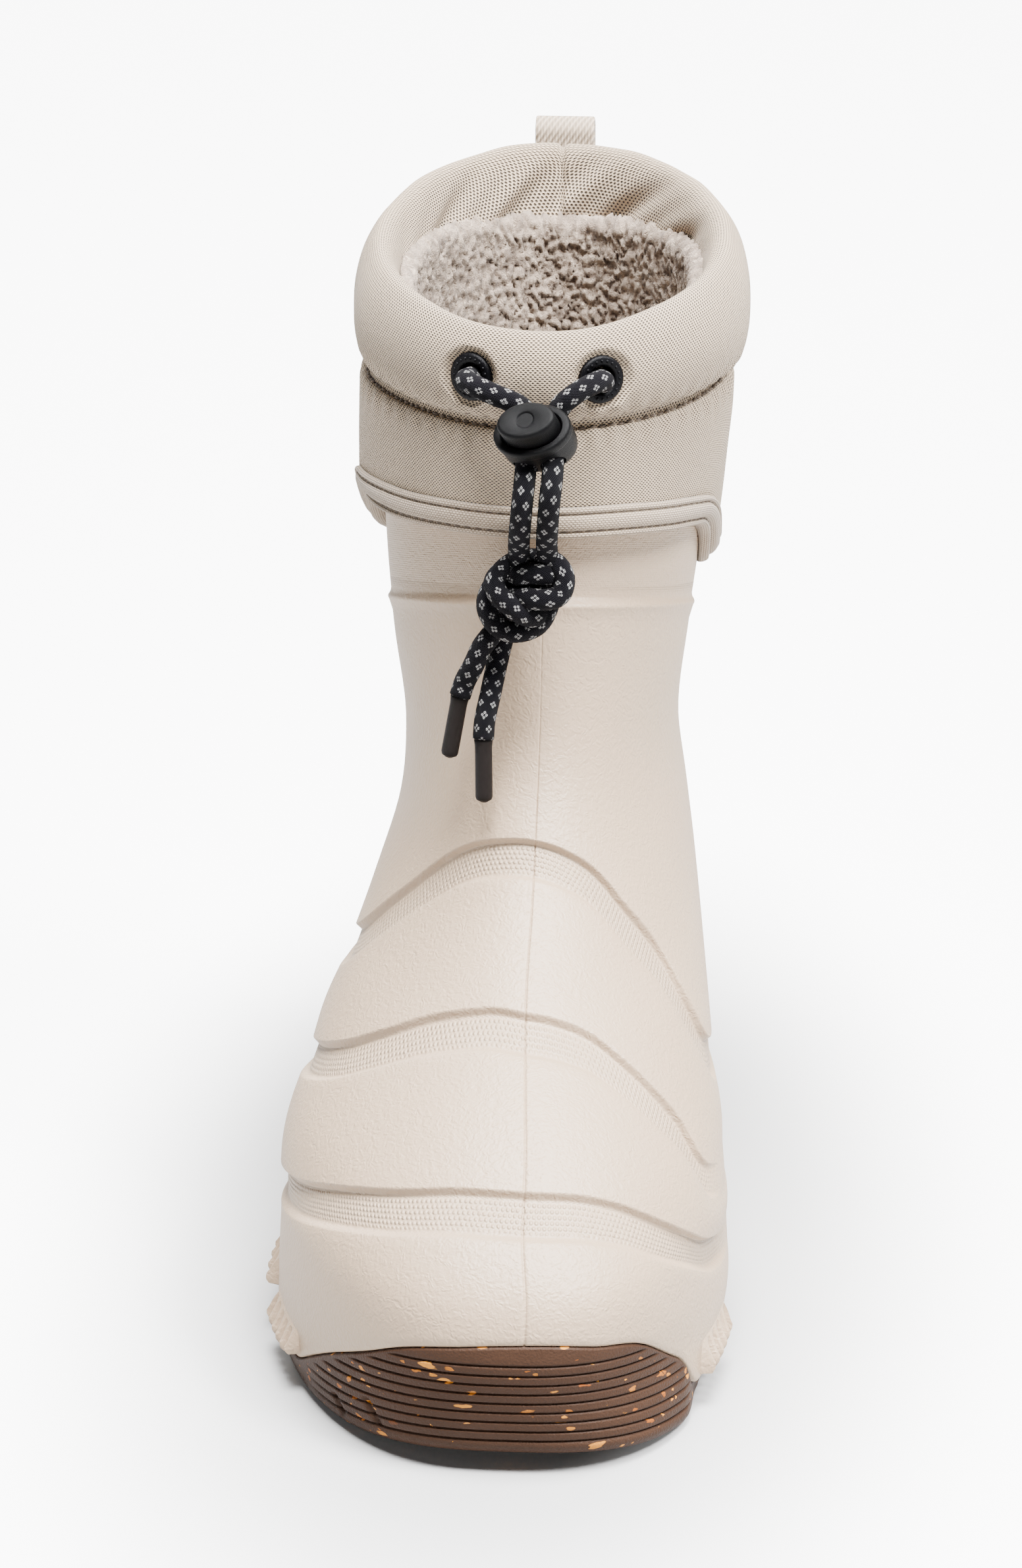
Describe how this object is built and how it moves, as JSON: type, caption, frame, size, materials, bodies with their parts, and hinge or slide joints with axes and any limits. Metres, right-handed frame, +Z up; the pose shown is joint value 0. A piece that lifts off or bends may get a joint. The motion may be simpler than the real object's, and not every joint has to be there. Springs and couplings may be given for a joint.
{
  "type": "waterproof boot",
  "caption": "Right ankle-high moulded waterproof boot with a rubber toe wrap, padded textile collar, drawcord with cord lock, and a back pull loop.",
  "frame": {"origin": "middle of the boot's own box on the ground plane, the cord, knot and lock left out", "axes": "+Z up from the ground, -Y towards the toe, +X towards the big-toe side"},
  "size_m": [0.1204, 0.301, 0.268],
  "materials": {
    "foam": "leather-grained moulded foam, warm off-white",
    "sole_rubber": "brown rubber with fine contour grooves and amber flecks",
    "textile": "beige spacer mesh over padding",
    "tape": "beige woven tape with two stitch rows",
    "lining": "curly taupe fleece",
    "hardware": "black moulded plastic, satin",
    "cord": "black round braid with small grey flower motifs",
    "aglet": "dark brown-black shrink tube"
  },
  "bodies": {
    "boot": {"upper_shell": "foam", "outsole": "sole_rubber", "insole": "lining", "collar": "textile", "collar_binding": "tape", "pull_loop": "tape", "eyelet_lateral": "hardware", "eyelet_medial": "hardware", "lock_body": "hardware", "drawcord_lateral": "cord", "drawcord_medial": "cord", "drawcord_knot": "cord", "drawcord_tail_lateral": "cord", "drawcord_tail_medial": "cord", "aglet_lateral": "aglet", "aglet_medial": "aglet"},
    "lock_button": {"lock_button": "hardware"}
  },
  "joints": [
    {"name": "button_press", "type": "slide", "parent": "boot", "child": "lock_button", "axis": [0.2702, 0.6605, -0.7006], "range_m": [0, 0.0028], "stiffness_N_per_m": 450}
  ]
}
